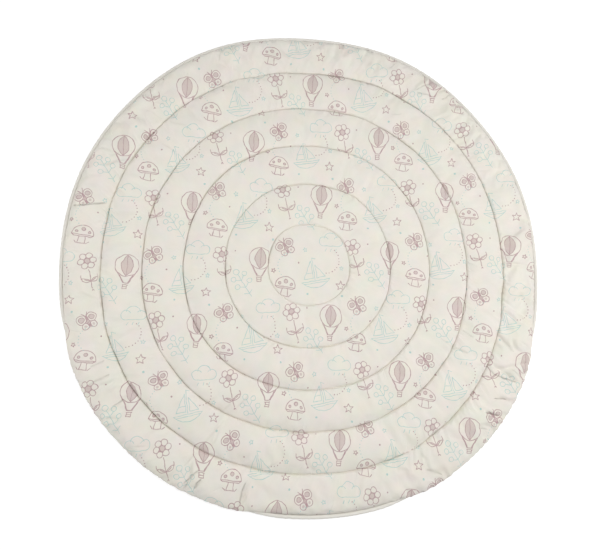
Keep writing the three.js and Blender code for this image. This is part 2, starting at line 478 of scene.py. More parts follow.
def throughPoints(rows, splits):
    # Smooth curve through rows of points; rows has the shape (points, bearings, 2)
    curve = []
    for index in range(1, len(rows) - 2):
        before, start, end, after = rows[index - 1:index + 3]
        for step in range(splits):
            share = step / splits
            curve.append(0.5 * (
                2 * start + (end - before) * share
                + (2 * before - 5 * start + 4 * end - after) * share ** 2
                + (3 * start - before - 3 * end + after) * share ** 3
            ))
    curve.append(rows[-2])
    return curve


def edgeRings(crownRing):
    # From the last crown out over the edge and down to the underside
    bearing = bearingsOf(coverMesh["channelSteps"][-1])
    tuck = tuckAt(bearing)
    outline = matForm["radius"] + strayFromCircle(matForm["radius"], bearing)
    crownInset = outline - np.hypot(crownRing[:, 0], crownRing[:, 1])
    crown = np.stack([crownInset, crownRing[:, 2]], axis=1)
    rows = [crown + [coverMesh["guideStep"], 0], crown]
    for openPoint, tuckedPoint in zip(openEdgeSection, tuckedEdgeSection):
        inset = openPoint[0] + (tuckedPoint[0] - openPoint[0]) * tuck
        height = openPoint[1] + (tuckedPoint[1] - openPoint[1]) * tuck
        rows.append(np.stack([inset, height], axis=1))
    rows.append(rows[-1] + [coverMesh["guideStep"], 0])
    curve = throughPoints(np.array(rows), coverMesh["edgeSplits"])[1:]
    aroundRim = 2 * math.pi * matForm["radius"]
    gather = roundNoise(bearing, aroundRim, coverRelief["rimGatherPitch"], noiseSeeds["rimGather"])
    least, more = coverRelief["rimGatherShares"]
    gather = coverRelief["rimGather"] * gather * (least + more * tuck)
    leanSide = np.cos(bearing - math.radians(coverMesh["rimLeanBearing"]))
    leanSide = smoothRise(*coverMesh["rimLeanSides"], leanSide) * (1 - tuck)
    rings = []
    for row in curve:
        inset, height = row[:, 0], row[:, 1]
        lean = leanSide * smoothRise(*coverMesh["rimLeanHeights"], height)
        beyond = np.maximum(inset - coverMesh["rimLeanReach"], 0)
        inset = inset - coverMesh["rimLean"] * lean * np.exp(-beyond / coverMesh["rimLeanReach"])
        reach = outline - inset
        x, y = reach * np.cos(bearing), reach * np.sin(bearing)
        relief = smallRelief(x, y) * smoothRise(*coverRelief["rimReliefHeights"], height)
        gathered = smoothRise(*coverRelief["rimGatherHeights"], height)
        gathered = gathered * np.exp(-inset / coverRelief["rimGatherReach"])
        relief = relief + gather * gathered
        rings.append(placeRing(reach, bearing, np.maximum(height + relief, 0)))
    return rings


def underRings():
    rings = []
    for ringIndex in reversed(range(len(matForm["ringRadii"]))):
        steps = coverMesh["underSteps"][ringIndex]
        bearing = bearingsOf(steps)
        for fromSeam in coverMesh["underFromSeam"]:
            radius = matForm["ringRadii"][ringIndex] + fromSeam
            share = 1 - smoothRise(0, coverMesh["underFromSeam"][0], abs(fromSeam))
            height = coverMesh["underSeamHeight"] * share + 0 * bearing
            rings.append(placeRing(radius + strayFromCircle(radius, bearing), bearing, height))
    return rings


def facesBetween(firstStart, firstSteps, secondStart, secondSteps):
    # Faces between two rings, joined in step with their bearings where their counts differ
    faces = []
    if firstSteps == secondSteps:
        for step in range(firstSteps):
            after = (step + 1) % firstSteps
            faces.append((firstStart + step, secondStart + step, secondStart + after, firstStart + after))
        return faces
    first, second = 0, 0
    while first < firstSteps or second < secondSteps:
        here = (firstStart + first % firstSteps, secondStart + second % secondSteps)
        if (second + 0.5) * firstSteps < (first + 0.5) * secondSteps and second < secondSteps:
            second += 1
            faces.append((here[0], here[1], secondStart + second % secondSteps))
        else:
            first += 1
            faces.append((here[0], here[1], firstStart + first % firstSteps))
    return faces


def fanFaces(ringStart, steps, middle, isTop):
    fan = [(ringStart + step, ringStart + (step + 1) % steps, middle) for step in range(steps)]
    return fan if isTop else [(a, middle, b) for a, b, middle in fan]


def linkPiece(name, points, faces):
    mesh = bpy.data.meshes.new(name)
    mesh.from_pydata([tuple(point) for point in points], [], faces)
    mesh.polygons.foreach_set("use_smooth", [True] * len(mesh.polygons))
    mesh.update()
    piece = bpy.data.objects.new(name, mesh)
    bpy.context.scene.collection.objects.link(piece)
    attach(piece, "root")
    return piece


def addPointLayer(mesh, name, values, kind="FLOAT"):
    layer = mesh.attributes.new(name, kind, "POINT")
    layer.data.foreach_set("vector" if kind == "FLOAT_VECTOR" else "value", np.ravel(values))


def addCoverMap(mesh, isTopFace, points):
    # Flat map: the printed face takes most of it, and the back sits in a corner
    size = 2 * matForm["radius"] * coverMesh["mapMargin"]
    layer = mesh.uv_layers.new(name="OFBake")
    loopVertex = np.zeros(len(mesh.loops), dtype=np.int32)
    mesh.loops.foreach_get("vertex_index", loopVertex)
    loopTotals = np.zeros(len(mesh.polygons), dtype=np.int32)
    mesh.polygons.foreach_get("loop_total", loopTotals)
    isTopLoop = np.repeat(np.array(isTopFace), loopTotals)
    flat = points[loopVertex][:, :2] / size
    topPlace = flat * coverMesh["topShareOfMap"] + coverMesh["topMiddleInMap"]
    backPlace = flat * [-coverMesh["backShareOfMap"], coverMesh["backShareOfMap"]]
    backPlace = backPlace + coverMesh["backMiddleInMap"]
    layer.data.foreach_set("uv", np.where(isTopLoop[:, None], topPlace, backPlace).ravel())


def addCover():
    top = topRings()
    rings = top + edgeRings(top[-1]) + underRings()
    printedRings = len(top) + coverMesh["printedSections"] * coverMesh["edgeSplits"]
    counts = [len(ring) for ring in rings]
    starts = np.cumsum([0] + counts).tolist()
    middleTop, middleBottom = starts[-1], starts[-1] + 1
    origin = np.zeros(1)
    atMiddle = topClothHeight(origin, origin, matForm["halfChannel"], 1.0, matForm["seamHeight"])
    points = np.concatenate(rings + [[[0, 0, float(atMiddle[0])]], [[0, 0, 0]]])
    faces = fanFaces(starts[0], counts[0], middleTop, True)
    isTopFace = [True] * len(faces)
    for index in range(len(rings) - 1):
        band = facesBetween(starts[index], counts[index], starts[index + 1], counts[index + 1])
        faces += band
        isTopFace += [index + 1 < printedRings] * len(band)
    back = fanFaces(starts[-2], counts[-1], middleBottom, False)
    faces += back
    isTopFace += [False] * len(back)
    reach = np.hypot(points[:, 0], points[:, 1])
    clothScale = np.where(reach > 0, clothReach(reach) / np.maximum(reach, 1e-9), 1)
    clothPlace = points * [1, 1, 0] * clothScale[:, None]
    isPrinted = np.zeros(len(points))
    isPrinted[:starts[printedRings]] = 1
    isPrinted[middleTop] = 1
    # The cloth also turns under beside the piping, except where it rolls over it, and the painted seam
    # shade darkens it there
    turnUnder = coverMesh["turnUnderSteep"] * np.abs(points[:, 2] - coverMesh["turnUnderHeight"])
    tuck = tuckAt(np.arctan2(points[:, 1], points[:, 0]))
    turnUnder = turnUnder + coverMesh["turnUnderHidden"] * tuck
    ringOfPoint = np.repeat(np.arange(len(rings) + 2), counts + [1, 1])
    seamDistance = nearestSeam(points)
    beyondTop = np.minimum(seamDistance, turnUnder)
    seamDistance = np.where(ringOfPoint >= len(top), beyondTop, seamDistance)
    points = points + [matShift[0], matShift[1], 0]
    cover = linkPiece("quilted_cover", points, faces)
    addPointLayer(cover.data, "clothPlace", clothPlace, "FLOAT_VECTOR")
    addPointLayer(cover.data, "printedSide", isPrinted)
    addPointLayer(cover.data, "fromSeam", seamDistance)
    addCoverMap(cover.data, isTopFace, points)
    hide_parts("quilted_pad")
    print("cover", len(points), "points", sum(len(face) - 2 for face in faces), "triangles")
    return cover, ringOfPoint


# Cloth simulation: the cover is a little too big for its stitched rings, so it gathers beside them

coverSettle = {
    "frames": 12,
    "quality": 3,
    "mass": 0.3,
    "pressure": 2.0,
    "grow": 0.03,
    "stiffness": 15.0,
    "shearShare": 0.4,
    "bending": 0.15,
    "seamHold": 0.0010,        # cloth nearer a stitch line than this stays put
    "edgeHold": 0.0125,        # so does all that lies lower than this
    "swellKept": 0.25,
    "innerWrinkles": 0.55,
    "outerWrinkles": 1.3,
    "innerReach": (0.02, 0.10),
    "outerReach": (0.33, 0.46),
    "patchSize": 0.16,
    "patchRange": (-1.3, 1.1),
    "patchShares": (0.45, 0.75),
    "calm": 0.6,               # a stretch at the lower edge has fewer of them
    "calmMiddle": 0.04,
    "calmWidth": 0.13,
    "calmFrom": (0.36, 0.42),
    "cap": 0.005,
}


def wrinkleShare(points):
    # Wrinkles fade towards the middle and come in patches
    x, y = points[:, 0], points[:, 1]
    reach = np.hypot(x, y)
    inner, outer = coverSettle["innerWrinkles"], coverSettle["outerWrinkles"]
    share = inner * smoothRise(*coverSettle["innerReach"], reach)
    share = share + (outer - inner) * smoothRise(*coverSettle["outerReach"], reach)
    patches = softNoise(x, y, coverSettle["patchSize"], noiseSeeds["wrinklePatches"])
    patches = smoothRise(*coverSettle["patchRange"], patches)
    least, more = coverSettle["patchShares"]
    across = (x - coverSettle["calmMiddle"]) / coverSettle["calmWidth"]
    calm = coverSettle["calm"] * np.exp(-across ** 2) * smoothRise(*coverSettle["calmFrom"], -y)
    return share * (least + more * patches) * (1 - calm)


def pointsOf(mesh):
    flat = np.zeros(len(mesh.vertices) * 3)
    mesh.vertices.foreach_get("co", flat)
    return flat.reshape(-1, 3)


def simulateCover(cover, isHeld):
    # Runs Blender's cloth on a copy and returns how far each point moves
    double = cover.copy()
    double.data = cover.data.copy()
    bpy.context.scene.collection.objects.link(double)
    held = double.vertex_groups.new(name="held")
    held.add(np.nonzero(isHeld)[0].tolist(), 1.0, "REPLACE")
    cloth = double.modifiers.new("settle", "CLOTH")
    settings = cloth.settings
    settings.quality = coverSettle["quality"]
    settings.mass = coverSettle["mass"]
    settings.tension_stiffness = coverSettle["stiffness"]
    settings.compression_stiffness = coverSettle["stiffness"]
    settings.shear_stiffness = coverSettle["shearShare"] * coverSettle["stiffness"]
    settings.bending_stiffness = coverSettle["bending"]
    settings.use_pressure = True
    settings.uniform_pressure_force = coverSettle["pressure"]
    settings.shrink_min = -coverSettle["grow"]
    settings.vertex_group_mass = held.name
    settings.effector_weights.gravity = 0
    cloth.collision_settings.use_collision = False
    cloth.point_cache.frame_start = 1
    cloth.point_cache.frame_end = coverSettle["frames"]
    scene = bpy.context.scene
    for step in range(1, coverSettle["frames"] + 1):
        scene.frame_set(step)
    settled = double.evaluated_get(bpy.context.evaluated_depsgraph_get())
    move = pointsOf(settled.data) - pointsOf(cover.data)
    bpy.data.objects.remove(double)
    scene.frame_set(1)
    return move


def settleCover(cover, ringOfPoint):
    mesh = cover.data
    before = pointsOf(mesh)
    fromSeam = np.zeros(len(before))
    mesh.attributes["fromSeam"].data.foreach_get("value", fromSeam)
    isHeld = (fromSeam < coverSettle["seamHold"]) | (before[:, 2] < coverSettle["edgeHold"])
    move = simulateCover(cover, isHeld)
    # Most of the even swelling along each ring is taken back, and the wrinkles stay
    swell = np.zeros_like(move)
    swell[:, 2] = (np.bincount(ringOfPoint, weights=move[:, 2]) / np.bincount(ringOfPoint))[ringOfPoint]
    move = coverSettle["swellKept"] * swell + wrinkleShare(before)[:, None] * (move - swell)
    length = np.maximum(np.linalg.norm(move, axis=1), 1e-9)
    move = move * np.minimum(1, coverSettle["cap"] / length)[:, None]
    mesh.vertices.foreach_set("co", (before + move).ravel())
    mesh.update()
    print("cover settled, largest move", round(1000 * float(length.max()), 2), "mm before the cap")


cover, ringOfPoint = addCover()
settleCover(cover, ringOfPoint)


# Corded piping: a folded strip of plain cloth around a cord, in the edge seam

piping = {
    "steps": 960,
    "sides": 20,
    "radius": 0.0044,
    "wrinkle": 0.00016,
    "wrinklePitch": 0.011,
    "wrinkleSlant": 0.9,
    "lift": 0.00025,           # the cord lifts a little off the floor here and there
    "liftSize": 0.09,
}


def addPiping():
    bearing = bearingsOf(piping["steps"])
    length = 2 * math.pi * matForm["radius"]
    tuck = tuckAt(bearing)
    line = matForm["radius"] - matForm["pipingRadius"] + strayFromCircle(matForm["radius"], bearing)
    line = line - tuck * tuckedEdge["cordInwards"]
    lift = np.abs(roundNoise(bearing, length, piping["liftSize"], noiseSeeds["pipingLift"]))
    height = matForm["pipingHeight"] - tuck * tuckedEdge["cordDown"] + piping["lift"] * lift
    points, seamDistance = [], []
    for side in range(piping["sides"]):
        angle = 2 * math.pi * side / piping["sides"]
        seamDistance += [piping["radius"] * abs(angle - math.pi)] * piping["steps"]
        slide = piping["wrinkleSlant"] * angle * piping["radius"] / matForm["radius"]
        seed = noiseSeeds["pipingWrinkle"]
        wrinkle = roundNoise(bearing + slide, length, piping["wrinklePitch"], seed)
        reach = piping["radius"] + piping["wrinkle"] * wrinkle
        ringRadius = line + reach * math.cos(angle)
        points.append(placeRing(ringRadius, bearing, height + reach * math.sin(angle)))
    points = np.concatenate(points) + [matShift[0], matShift[1], 0]
    faces = []
    steps = piping["steps"]
    for side in range(piping["sides"]):
        here, over = side * steps, ((side + 1) % piping["sides"]) * steps
        for step in range(steps):
            after = (step + 1) % steps
            faces.append((here + step, here + after, over + after, over + step))
    cord = linkPiece("edge_piping_cover", points, faces)
    addPointLayer(cord.data, "fromSeam", seamDistance)
    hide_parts("edge_piping")
    return cord


pipingPiece = addPiping()


# Sewing thread: short stitches along each ring

stitching = {
    "pitch": 0.0034,
    "length": 0.0027,
    "radius": 0.00030,
    "above": 0.00045,
    "sides": 5,
    "placeStray": 0.03,        # share of the pitch
    "tiltStray": 0.05,
}

# One stitch from end to end: place along it in stitch lengths, thickness and lift in thread radii
stitchSections = (
    (-0.5, 0.35, -0.8), (-0.36, 0.9, -0.1), (0, 1, 0.25), (0.36, 0.9, -0.1), (0.5, 0.35, -0.8),
)


def stitchTemplate():
    # A short rounded thread with its ends drawn into the cloth
    sides, radius = stitching["sides"], stitching["radius"]
    points, faces = [], []
    for along, thickness, lift in stitchSections:
        for side in range(sides):
            angle = 2 * math.pi * side / sides
            points.append((
                along * stitching["length"],
                thickness * radius * math.cos(angle),
                thickness * radius * math.sin(angle) + lift * radius,
            ))
    last = (len(stitchSections) - 1) * sides
    for start in range(0, last, sides):
        for side in range(sides):
            after = (side + 1) % sides
            faces.append((start + after, start + sides + after, start + sides + side, start + side))
    faces.append(tuple(reversed(range(sides))))
    faces.append(tuple(range(last, last + sides)))
    return np.array(points), faces


def addStitching():
    draw = np.random.default_rng(noiseSeeds["stitches"])
    template, templateFaces = stitchTemplate()
    allPoints, allFaces, count = [], [], 0
    for ringIndex, radius in enumerate(matForm["ringRadii"]):
        stitches = round(2 * math.pi * radius / stitching["pitch"])
        bearing = bearingsOf(stitches)
        stray = draw.normal(0, stitching["placeStray"], stitches)
        bearing = bearing + stray * stitching["pitch"] / radius
        reach = radius + seamStray(ringIndex, bearing)
        height = seamHeightAt(ringIndex, bearing) + stitching["above"]
        tilt = draw.normal(0, stitching["tiltStray"], stitches)
        for index in range(stitches):
            heading = bearing[index] + math.pi / 2 + tilt[index]
            cos, sin = math.cos(heading), math.sin(heading)
            x = template[:, 0] * cos - template[:, 1] * sin + reach[index] * math.cos(bearing[index])
            y = template[:, 0] * sin + template[:, 1] * cos + reach[index] * math.sin(bearing[index])
            allPoints.append(np.stack([x, y, template[:, 2] + height[index]], axis=1))
            allFaces += [tuple(corner + count for corner in face) for face in templateFaces]
            count += len(template)
    points = np.concatenate(allPoints) + [matShift[0], matShift[1], 0]
    thread = linkPiece("ring_stitching", points, allFaces)
    print("stitching", len(allFaces), "faces")
    return thread


threadPiece = addStitching()


# Shader maths: a wire wraps one socket and is used in plain expressions

class Wire:
    def __init__(self, socket):
        self.socket = socket
        self.tree = socket.id_data

    def node(self, kind, settings=None, inputs=None, output=0):
        return addNode(self.tree, kind, settings, inputs, output)

    def calc(self, operation, *others):
        values = [self, *others]
        if any(isVector(value) for value in values):
            return self.node("ShaderNodeVectorMath", {"operation": operation}, dict(enumerate(values)))
        return self.node("ShaderNodeMath", {"operation": operation}, dict(enumerate(values)))

    def __add__(self, other):
        return self.calc("ADD", other)

    def __radd__(self, other):
        return self.calc("ADD", other)

    def __sub__(self, other):
        return self.calc("SUBTRACT", other)

    def __rsub__(self, other):
        return wired(self.tree, other, self).calc("SUBTRACT", self)

    def __mul__(self, other):
        if isVector(self) and not isVector(other):
            return self.node("ShaderNodeVectorMath", {"operation": "SCALE"}, {0: self, "Scale": other})
        return self.calc("MULTIPLY", other)

    def __rmul__(self, other):
        return self * other

    def __truediv__(self, other):
        return self * (1 / other) if isinstance(other, (int, float)) else self.calc("DIVIDE", other)

    def __rtruediv__(self, other):
        return wired(self.tree, other, self).calc("DIVIDE", self)

    def __pow__(self, other):
        return self.calc("POWER", other)

    def __rpow__(self, other):
        return wired(self.tree, other, self).calc("POWER", self)

    def __neg__(self):
        return self * -1

    def __abs__(self):
        return self.calc("ABSOLUTE")

    def least(self, other):
        return self.calc("MINIMUM", other)

    def most(self, other):
        return self.calc("MAXIMUM", other)

    def clamped(self):
        return self.node("ShaderNodeClamp", None, {"Value": self})

    def parts(self):
        return [self.node("ShaderNodeSeparateXYZ", None, {0: self}, axis) for axis in "XY"]

    def flat(self, other):
        # This value and another one as a place on the flat cloth
        return self.node("ShaderNodeCombineXYZ", None, {0: self, 1: other})

    def length(self):
        return self.node("ShaderNodeVectorMath", {"operation": "LENGTH"}, {0: self}, "Value")

    def turned(self, degrees):
        settings, angle = {"rotation_type": "Z_AXIS"}, math.radians(-degrees)
        return self.node("ShaderNodeVectorRotate", settings, {"Vector": self, "Angle": angle})

    def noise(self, dimensions, scale, detail, output="Fac", **inputs):
        inputs = {"Vector": self, "Scale": scale, "Detail": detail, **inputs}
        return self.node("ShaderNodeTexNoise", {"noise_dimensions": dimensions}, inputs, output)

    def stray(self, dimensions, scale, detail):
        # Noise in three directions, around 0
        return self.noise(dimensions, scale, detail, "Color").calc("SUBTRACT", (0.5, 0.5, 0.5))


def isVector(value):
    if isinstance(value, Wire):
        return value.socket.type in ("VECTOR", "RGBA")
    return isinstance(value, (tuple, list))


def wired(tree, value, like):
    # A plain number as a wire, for expressions that start with it
    if isVector(like):
        return addNode(tree, "ShaderNodeCombineXYZ", None, dict(enumerate(value)))
    return addNode(tree, "ShaderNodeMath", {"operation": "ADD"}, {0: value, 1: 0.0})


def addNode(tree, kind, settings=None, inputs=None, output=0):
    node = tree.nodes.new(kind)
    for name, value in (settings or {}).items():
        setattr(node, name, value)
    for name, value in (inputs or {}).items():
        socket = node.inputs[name]
        if isinstance(value, Wire):
            tree.links.new(value.socket, socket)
        elif value is not None:
            socket.default_value = value
    return Wire(node.outputs[output])


def pointLayer(tree, name, output="Fac"):
    return addNode(tree, "ShaderNodeAttribute", {"attribute_name": name}, None, output)


def objectPlace(tree):
    return addNode(tree, "ShaderNodeTexCoord", None, None, "Object")


def mixColours(share, first, second):
    # A Mix node's colours are its sockets 6 and 7, and the mixed colour is its output 2
    settings = {"data_type": "RGBA", "clamp_factor": True}
    return share.node("ShaderNodeMix", settings, {0: share, 6: first, 7: second}, 2)


def newFinish(name, settings):
    # A matt cloth material; settings are the shader's own fixed values
    material = bpy.data.materials.new(name)
    material.use_nodes = True
    tree = material.node_tree
    shader = tree.nodes["Principled BSDF"]
    for socket, value in settings.items():
        shader.inputs[socket].default_value = value
    return material, tree, shader


# Print on the cover: thin line drawings in two inks, repeated over the flat cloth.
# Places are millimetres in one cell of the repeat, and strokes are millimetres around a motif's middle.

printRepeat = {
    "wide": 262,
    "rowStep": 122,
    "turn": 4,
    "lineHalfWidth": 0.60,
    "inkSpread": {"mauve": 0.05, "teal": -0.11},
    "lineSoftness": 0.5,
    "handWobble": 1.5,
    "wobbleScale": 0.085,
    "pressureScale": 0.16,
    "fillEdge": 0.3,
    "fillShare": 0.48,
    "starPoints": 5,
    "starValley": 0.45,        # share of a star's radius that its valleys reach
}

balloonStrokes = (
    {"ring": (0, 13), "radius": 21},
    {"line": (16, -1, 5, -22)},
    {"line": (12, -6, 3.5, -22)},
    {"line": (0, -8, 0, 34)},
    {"arc": (-14, 13), "radius": 24, "facing": (1, 0), "from": 3},
    {"fill": (-14, 13), "radius": 24},
    {"line": (0, -22, 5, -22)},
    {"line": (4, -25, 4, -33)},
    {"line": (0, -33, 4, -33)},
    {"line": (0, -25, 5, -25)},
    {"line": (0, -29, 4, -29)},
)
boatStrokes = (
    {"line": (-27, -12, 27, -12)},
    {"line": (-22, -16, 22, -16)},
    {"arc": (0, 8), "radius": 33, "facing": (0, -1), "from": 20},
    {"line": (0, -12, 0, 32)},
    {"line": (-3, -7, -3, 26)},
    {"line": (-3, -7, -21, -7)},
    {"line": (-21, -7, -3, 26)},
    {"line": (-15.5, 3, -3, 3)},
    {"line": (4, -7, 20, -7)},
    {"line": (20, -7, 4, 18)},
    {"line": (4, -7, 4, 18)},
    {"line": (0, 32, 7, 29)},
)
flowerStrokes = (
    {"fill": (0, 18), "radius": 5},
    {"ring": (0, 18), "radius": 5},
    {"petals": (0, 18), "count": 6, "out": 11, "radius": 5.6},
    {"line": (0, 1, 0, -36)},
    {"arc": (13, -31), "radius": 15, "facing": (-1, 0.6), "from": 5},
    {"arc": (5, -13), "radius": 11, "facing": (0.8, -1), "from": 4},
    {"line": (3, -22, 10, -18)},
)
butterflyStrokes = (
    {"ring": (9, 6), "radius": 8.5},
    {"ring": (7, -8), "radius": 6},
    {"line": (0, -12, 0, 9)},
    {"line": (0, 9, 5, 18)},
    {"line": (2, -12, 2, 8)},
    {"ring": (9, 6), "radius": 4.5},
    {"fill": (9, 6), "radius": 4.5},
    {"fill": (7, -8), "radius": 2.4},
)
mushroomStrokes = (
    {"arc": (0, -2), "radius": 19, "facing": (0, 1), "from": 0},
    {"fill": (0, 9), "radius": 3.2},
    {"fill": (11, 4), "radius": 2.2},
    {"line": (0, -2, 19, -2)},
    {"line": (0, -5, 15, -5)},
    {"line": (15, -5, 19, -2)},
    {"line": (5, -5, 7, -19)},
    {"line": (0, -19, 7, -19)},
    {"line": (9, -19, 13, -15)},
    {"ring": (0, 9), "radius": 3.2},
    {"ring": (11, 4), "radius": 2.2},
)
cloudStrokes = (
    {"arc": (-13, -1), "radius": 9, "facing": (-0.75, 0.5), "from": -3.5},
    {"arc": (0, 4), "radius": 12, "facing": (0, 1), "from": 2},
    {"arc": (14, -1), "radius": 9, "facing": (0.8, 0.5), "from": -3.5},
    {"line": (-13, -10, 14, -10)},
    {"line": (-9, -15, -11, -20)},
    {"line": (1, -15, -1, -20)},
    {"line": (11, -15, 9, -20)},
)
sprigStrokes = (
    {"line": (0, -30, 0, 20)},
    {"ring": (0, 25), "radius": 5},
    {"line": (0, 6, 8, 12)},
    {"ring": (11.5, 15), "radius": 4.4},
    {"line": (0, -10, 9, -4)},
    {"ring": (12.5, -1), "radius": 4.4},
    {"line": (0, -24, 8, -19)},
)
starStrokes = ({"star": (0, 0), "radius": 9},)
smallStarStrokes = ({"star": (0, 0), "radius": 4.2},)
dottedStrokes = ({"dots": (0, 0), "count": 26, "out": 25, "radius": 1.0, "facing": (1, 0), "from": 5},)

printMotifs = (
    {"at": (-98, 4), "turn": -8, "ink": "mauve", "mirrored": True, "strokes": balloonStrokes},
    {"at": (8, -20), "turn": 6, "ink": "teal", "strokes": boatStrokes},
    {"at": (92, 12), "turn": 10, "ink": "mauve", "mirrored": True, "strokes": flowerStrokes},
    {"at": (-42, 34), "turn": 24, "ink": "mauve", "mirrored": True, "strokes": butterflyStrokes},
    {"at": (44, 42), "turn": -4, "ink": "teal", "strokes": cloudStrokes},
    {"at": (-48, -38), "turn": -12, "ink": "mauve", "mirrored": True, "strokes": mushroomStrokes},
    {"at": (131, -30), "turn": 28, "ink": "teal", "mirrored": True, "strokes": sprigStrokes},
    {"at": (56, -44), "turn": 12, "ink": "mauve", "strokes": starStrokes},
    {"at": (-6, 28), "turn": 30, "ink": "teal", "strokes": smallStarStrokes},
    {"at": (60, -12), "turn": 8, "ink": "teal", "strokes": smallStarStrokes},
    {"at": (-68, -8), "turn": -10, "ink": "mauve", "strokes": smallStarStrokes},
    {"at": (32, 6), "turn": -24, "ink": "mauve", "strokes": dottedStrokes},
    {"at": (-34, -2), "turn": 160, "ink": "teal", "strokes": dottedStrokes},
)

# Small filled spots: place, radius and ink
printDots = (
    {"at": (-70, 54), "radius": 2.2, "ink": "teal"},
    {"at": (-20, 4), "radius": 1.5, "ink": "mauve"},
    {"at": (120, 34), "radius": 1.4, "ink": "mauve"},
    {"at": (-8, -56), "radius": 2.0, "ink": "teal"},
)

inkColours = {
    "mauve": (0.350, 0.170, 0.199, 1),
    "teal": (0.325, 0.548, 0.530, 1),
}


def cellPlace(cloth, at, turn):
    # The cloth's place, folded into one cell of the brick-wise repeat around a motif, and turned with it
    halfWide, halfRow = printRepeat["wide"] / 2, printRepeat["rowStep"] / 2
    x, y = (cloth - (*at, 0)).parts()
    row = (y / printRepeat["rowStep"]).calc("ROUND")
    shifted = (x + row * halfWide).flat(y)
    folded = shifted.calc("WRAP", (halfWide, halfRow, 1), (-halfWide, -halfRow, -1))
    return folded.turned(turn) if turn else folded


def distanceTo(place, point):
    inputs = {0: place, 1: (*point, 0)}
    return place.node("ShaderNodeVectorMath", {"operation": "DISTANCE"}, inputs, "Value")


def dotWith(place, direction):
    inputs = {0: place, 1: (*direction, 0)}
    return place.node("ShaderNodeVectorMath", {"operation": "DOT_PRODUCT"}, inputs, "Value")


def foldedAround(moved, count):
    # Reach and angle of a place around a middle, folded into one of some equal shares of a full turn
    x, y = moved.parts()
    half = math.pi / count
    return moved.length(), y.calc("ARCTAN2", x).calc("WRAP", half, -half)


def fromPolar(reach, angle):
    return (reach * angle.calc("COSINE")).flat(reach * angle.calc("SINE"))


def lineDistance(place, ends):
    x0, y0, x1, y1 = ends
    length = math.hypot(x1 - x0, y1 - y0)
    heading = ((x1 - x0) / length, (y1 - y0) / length)
    moved = place - (x0, y0, 0)
    along = dotWith(moved, heading)
    along = along.node("ShaderNodeClamp", None, {"Value": along, "Min": 0.0, "Max": length})
    inputs = {0: (*heading, 0), "Scale": along}
    nearest = along.node("ShaderNodeVectorMath", {"operation": "SCALE"}, inputs)
    return moved.node("ShaderNodeVectorMath", {"operation": "DISTANCE"}, {0: moved, 1: nearest}, "Value")


def arcDistance(place, stroke):
    # The part of a circle that lies past a straight line, in the direction that it faces
    length = math.hypot(*stroke["facing"])
    facing = [part / length for part in stroke["facing"]]
    middle = stroke["arc"]
    edge = middle[0] * facing[0] + middle[1] * facing[1] + stroke["from"]
    circle = abs(distanceTo(place, middle) - stroke["radius"])
    return circle.most(edge - dotWith(place, facing))


def petalDistance(place, stroke):
    folded = fromPolar(*foldedAround(place - (*stroke["petals"], 0), stroke["count"]))
    return abs(distanceTo(folded, (stroke["out"], 0)) - stroke["radius"])


def starDistance(place, stroke):
    # One straight side of a star's point, folded around
    reach, angle = foldedAround(place - (*stroke["star"], 0), printRepeat["starPoints"])
    half = math.pi / printRepeat["starPoints"]
    inner = printRepeat["starValley"] * stroke["radius"]
    valley = (inner * math.cos(half), inner * math.sin(half))
    return lineDistance(fromPolar(reach, abs(angle)), (stroke["radius"], 0, *valley))


def dotsDistance(place, stroke):
    # A row of small dots on a circle, past a straight line
    moved = place - (*stroke["dots"], 0)
    folded = fromPolar(*foldedAround(moved, stroke["count"]))
    dots = distanceTo(folded, (stroke["out"], 0)) - (stroke["radius"] - printRepeat["lineHalfWidth"])
    return dots.most(stroke["from"] - dotWith(moved, stroke["facing"]))


def discDistance(place, middle, radius):
    return distanceTo(place, middle) - radius


def strokeDistance(place, stroke):
    if "ring" in stroke:
        return abs(discDistance(place, stroke["ring"], stroke["radius"]))
    if "line" in stroke:
        return lineDistance(place, stroke["line"])
    if "arc" in stroke:
        return arcDistance(place, stroke)
    if "petals" in stroke:
        return petalDistance(place, stroke)
    if "star" in stroke:
        return starDistance(place, stroke)
    return dotsDistance(place, stroke)


def inkShares(cloth):
    # How much of each ink lies at a place of the cloth
    nearest, nearestFill = {}, {}
    half, soft = printRepeat["lineHalfWidth"], printRepeat["lineSoftness"]

    def keepNearest(held, ink, distance):
        held[ink] = held[ink].least(distance) if ink in held else distance

    drawn = cloth + cloth.stray("2D", printRepeat["wobbleScale"], 1.0) * (2 * printRepeat["handWobble"])
    for motif in printMotifs:
        place = cellPlace(drawn, motif["at"], motif["turn"])
        if motif.get("mirrored"):
            x, y = place.parts()
            place = abs(x).flat(y)
        for stroke in motif["strokes"]:
            if "fill" in stroke:
                distance = discDistance(place, stroke["fill"], stroke["radius"])
                keepNearest(nearestFill, motif["ink"], distance)
            else:
                keepNearest(nearest, motif["ink"], strokeDistance(place, stroke))
    for dot in printDots:
        place = cellPlace(drawn, dot["at"], 0)
        keepNearest(nearest, dot["ink"], discDistance(place, (0, 0), dot["radius"] - half))
    # The pen presses harder here and there
    edge = cloth.noise("2D", printRepeat["pressureScale"], 1.0) * (0.8 * half) + (0.6 * half + soft / 2)
    shares = {}
    for ink, distance in nearest.items():
        shares[ink] = ((edge + printRepeat["inkSpread"][ink] - distance) / soft).clamped()
        if ink in nearestFill:
            fills = ((printRepeat["fillEdge"] - nearestFill[ink]) / soft).clamped()
            shares[ink] = shares[ink].most(fills * printRepeat["fillShare"])
    return shares


# Finishes

